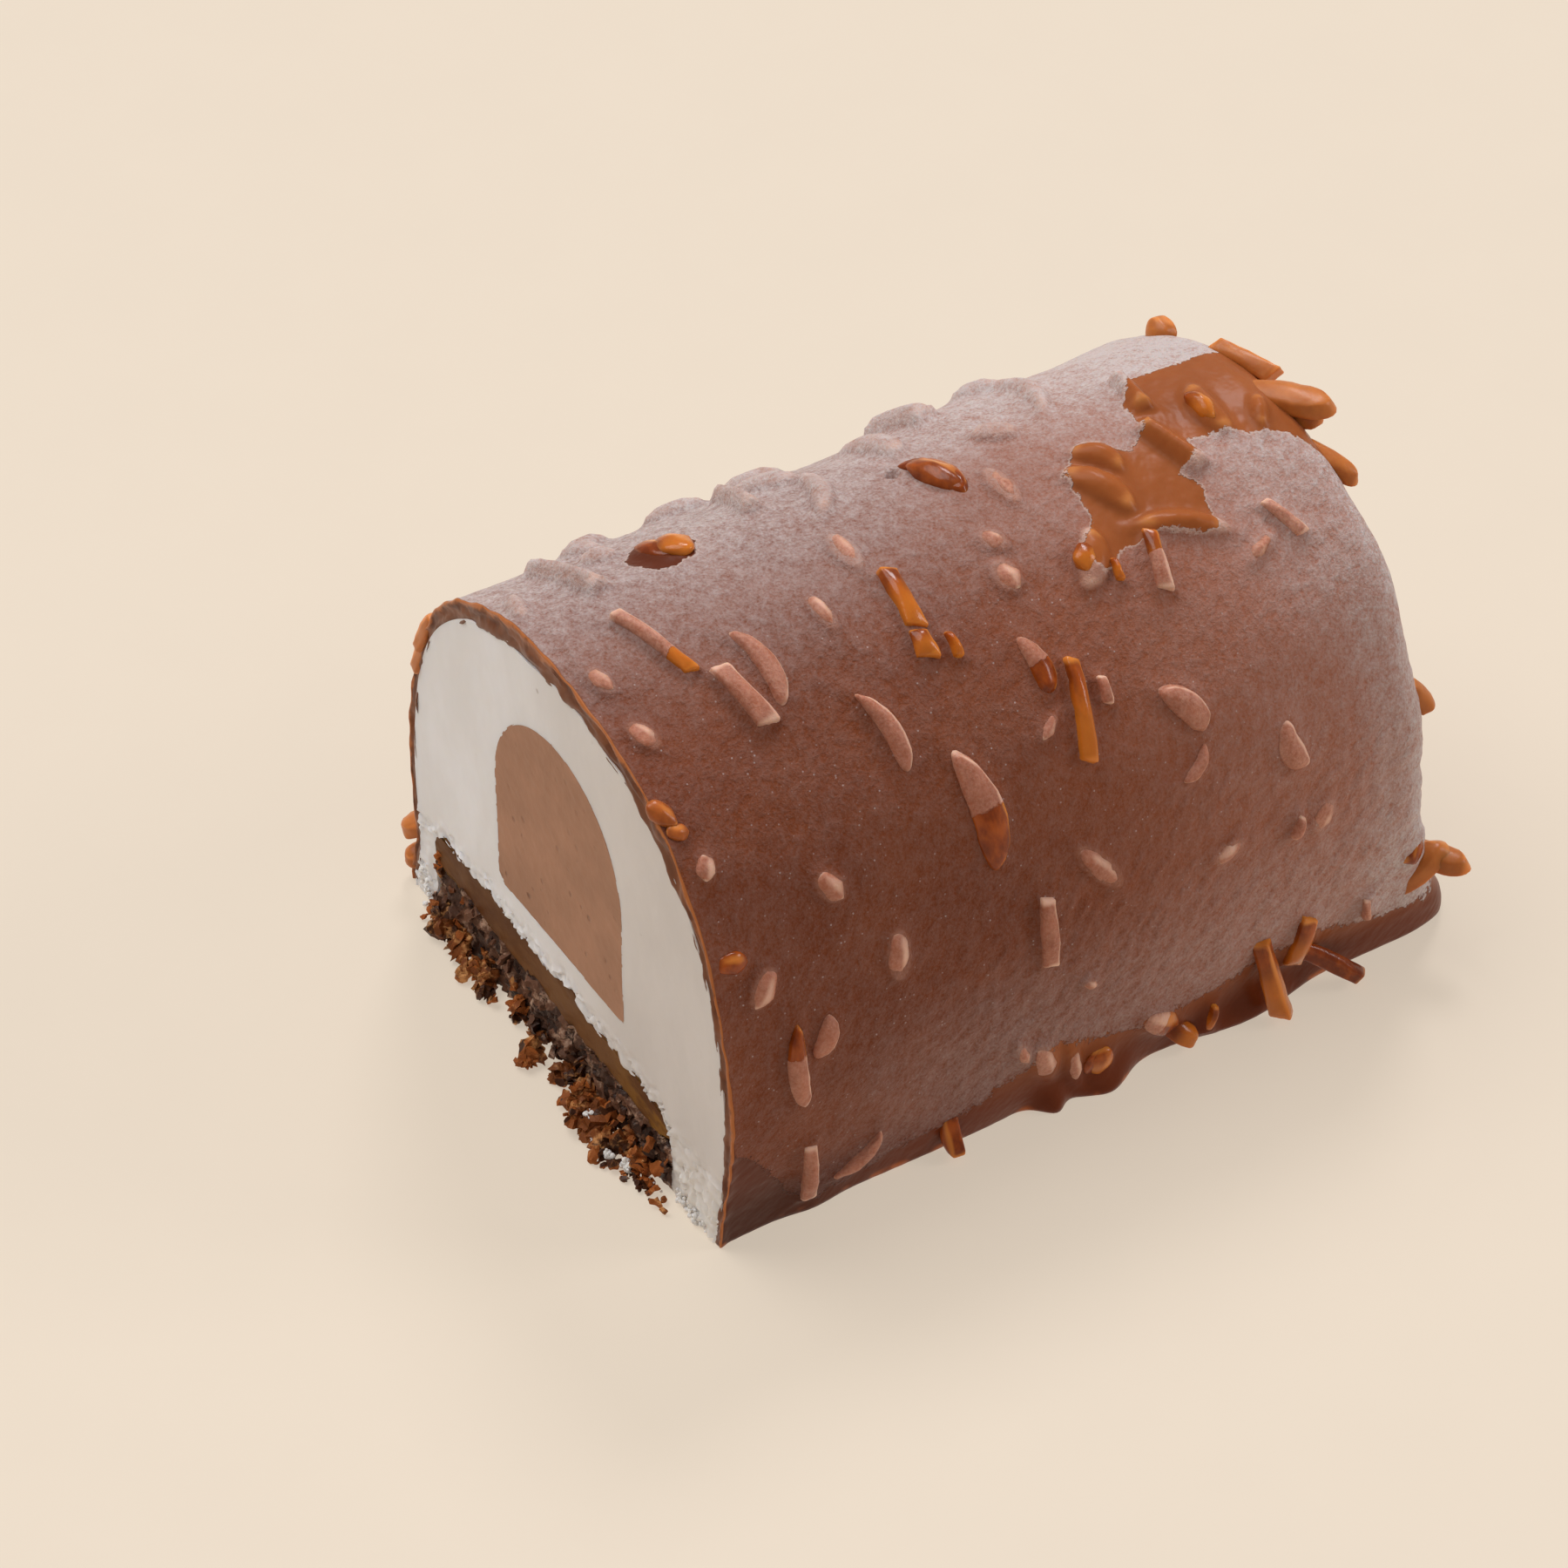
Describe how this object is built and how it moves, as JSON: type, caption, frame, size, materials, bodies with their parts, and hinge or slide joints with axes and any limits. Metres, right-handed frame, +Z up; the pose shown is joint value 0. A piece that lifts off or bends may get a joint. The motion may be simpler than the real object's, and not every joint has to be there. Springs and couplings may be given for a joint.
{
  "type": "ice cream log",
  "caption": "Half of an ice cream log on its base: vanilla round a chocolate core, over caramel and crumbly biscuit, coated in milk chocolate with chopped almonds.",
  "frame": {"origin": "on the underside of the biscuit base, across the middle of the arch and halfway between the cut face and the far end", "axes": "+Z up, +Y along the log from the cut face to the far end, +X to the right when the cut face is looked at from the front"},
  "size_m": [0.087, 0.1186, 0.071],
  "materials": {
    "milk_chocolate": "frosted milk chocolate, bare and satin in places",
    "vanilla_ice_cream": "dense frozen cream",
    "chocolate_ice_cream": "finely pored frozen cream",
    "caramel": "smooth soft caramel",
    "biscuit": "dark crumb with caramel specks"
  },
  "bodies": {
    "root": {"milk_chocolate_coating": "milk_chocolate", "vanilla_ice_cream": "vanilla_ice_cream", "chocolate_ice_cream_core": "chocolate_ice_cream", "caramel_layer": "caramel", "biscuit_base": "biscuit"}
  },
  "joints": []
}
